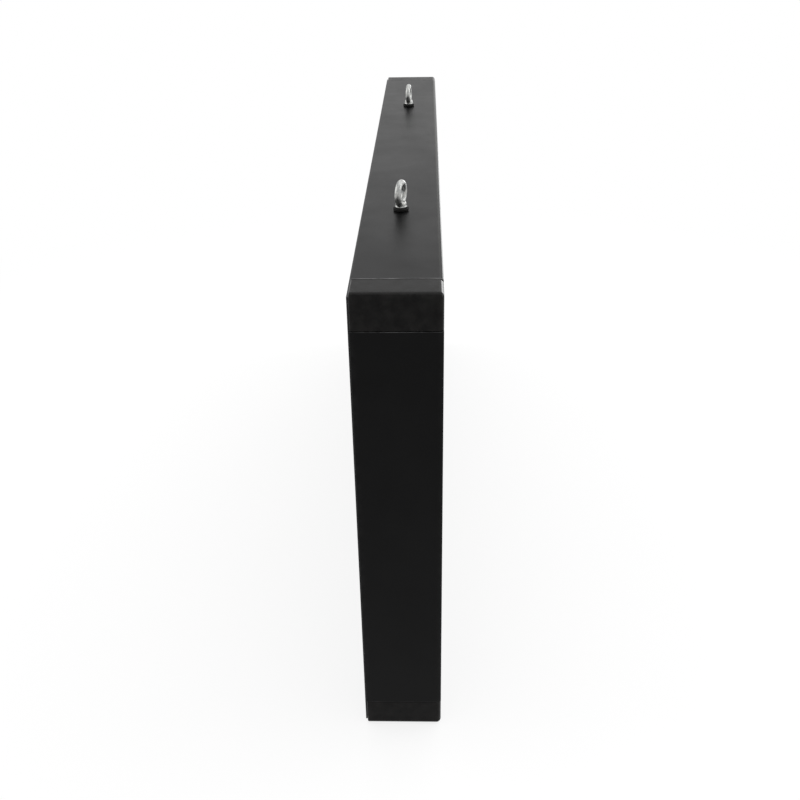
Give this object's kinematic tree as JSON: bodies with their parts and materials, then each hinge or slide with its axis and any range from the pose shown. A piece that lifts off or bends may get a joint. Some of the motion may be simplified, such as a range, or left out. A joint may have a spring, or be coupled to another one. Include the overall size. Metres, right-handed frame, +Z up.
{
  "type": "led scrolling sign",
  "caption": "Shallow black aluminium cabinet with plastic corners that holds tiled LED display modules, hung from eye bolts on its top face.",
  "frame": {"origin": "middle of the flat underside that the cabinet stands on", "axes": "+X along the sign's length, to the right seen from the display side; the display faces -Y; +Z up"},
  "size_m": [0.69, 0.0801, 0.393],
  "materials": {
    "frame_profile": "satin black coating on extruded aluminium",
    "corner_block": "black moulded plastic, slightly blotchy",
    "back_sheet": "black painted steel sheet",
    "eye_bolt": "bright zinc plating",
    "plain_washer": "zinc-plated steel",
    "rubber_washer": "black rubber",
    "display_mask": "matt black moulded plastic",
    "circuit_board": "green solder mask",
    "module_shell": "black moulded plastic",
    "rail_steel": "galvanised steel",
    "supply_case": "plain aluminium sheet",
    "connector_black": "black connector plastic",
    "transformer_tape": "yellow insulating tape",
    "capacitor_sleeve": "dark sleeve",
    "card_tray": "white moulded plastic",
    "ribbon_cable": "grey flat cable",
    "power_lead": "red and black lead",
    "gland_plastic": "black nylon",
    "gland_rubber": "black rubber",
    "gold_plate": "gold-plated brass",
    "aerial_plastic": "black moulded plastic",
    "aerial_lead": "thin black coaxial lead"
  },
  "bodies": {
    "sign": {"bottom_profile": "frame_profile", "left_profile": "frame_profile", "top_profile": "frame_profile", "right_profile": "frame_profile", "corner_block_bottom_left": "corner_block", "corner_block_bottom_right": "corner_block", "corner_block_top_left": "corner_block", "corner_block_top_right": "corner_block", "back_sheet": "back_sheet", "rubber_washer_left": "rubber_washer", "steel_washer_left": "plain_washer", "eye_bolt_nut_left": "plain_washer", "rubber_washer_right": "rubber_washer", "steel_washer_right": "plain_washer", "eye_bolt_nut_right": "plain_washer", "mask_bottom_left": "display_mask", "board_bottom_left": "circuit_board", "shell_bottom_left": "module_shell", "mask_bottom_right": "display_mask", "board_bottom_right": "circuit_board", "shell_bottom_right": "module_shell", "mask_top_left": "display_mask", "board_top_left": "circuit_board", "shell_top_left": "module_shell", "mask_top_right": "display_mask", "board_top_right": "circuit_board", "shell_top_right": "module_shell", "rail_left": "rail_steel", "rail_centre": "rail_steel", "rail_right": "rail_steel", "supply_tray": "supply_case", "supply_lid": "supply_case", "supply_board": "circuit_board", "terminal_block": "connector_black", "supply_transformer": "transformer_tape", "capacitor_lower": "capacitor_sleeve", "capacitor_middle": "capacitor_sleeve", "capacitor_upper": "capacitor_sleeve", "control_card": "circuit_board", "card_tray": "card_tray", "ribbon_link_bottom": "ribbon_cable", "ribbon_card_bottom": "ribbon_cable", "power_lead_bottom_left": "power_lead", "power_lead_bottom_right": "power_lead", "ribbon_link_top": "ribbon_cable", "ribbon_card_top": "ribbon_cable", "power_lead_top_left": "power_lead", "power_lead_top_right": "power_lead", "gland_body": "gland_plastic", "gland_dome_nut": "gland_plastic", "gland_lock_nut": "gland_plastic", "gland_seal": "gland_rubber", "aerial_connector": "gold_plate", "aerial_lead": "aerial_lead"},
    "eye_left": {"eye_bolt_left": "eye_bolt"},
    "eye_right": {"eye_bolt_right": "eye_bolt"},
    "aerial_base": {"aerial_base": "aerial_plastic"},
    "aerial_whip": {"aerial_whip": "aerial_plastic"}
  },
  "joints": [
    {"name": "eye_left_turn", "type": "hinge", "parent": "sign", "child": "eye_left", "pos_m": [-0.185, 0.00075, 0.37], "axis": [0, 0, 1], "range_deg": [-180, 180]},
    {"name": "eye_right_turn", "type": "hinge", "parent": "sign", "child": "eye_right", "pos_m": [0.174, 0.00075, 0.37], "axis": [0, 0, 1], "range_deg": [-180, 180]},
    {"name": "aerial_swivel", "type": "hinge", "parent": "sign", "child": "aerial_base", "pos_m": [0.275, 0.0357, 0.105], "axis": [0, 1, 0], "range_deg": [-180, 180]},
    {"name": "aerial_fold", "type": "hinge", "parent": "aerial_base", "child": "aerial_whip", "pos_m": [0.275, 0.0469, 0.105], "axis": [-1, 0, 0], "range_deg": [0, 90]}
  ]
}
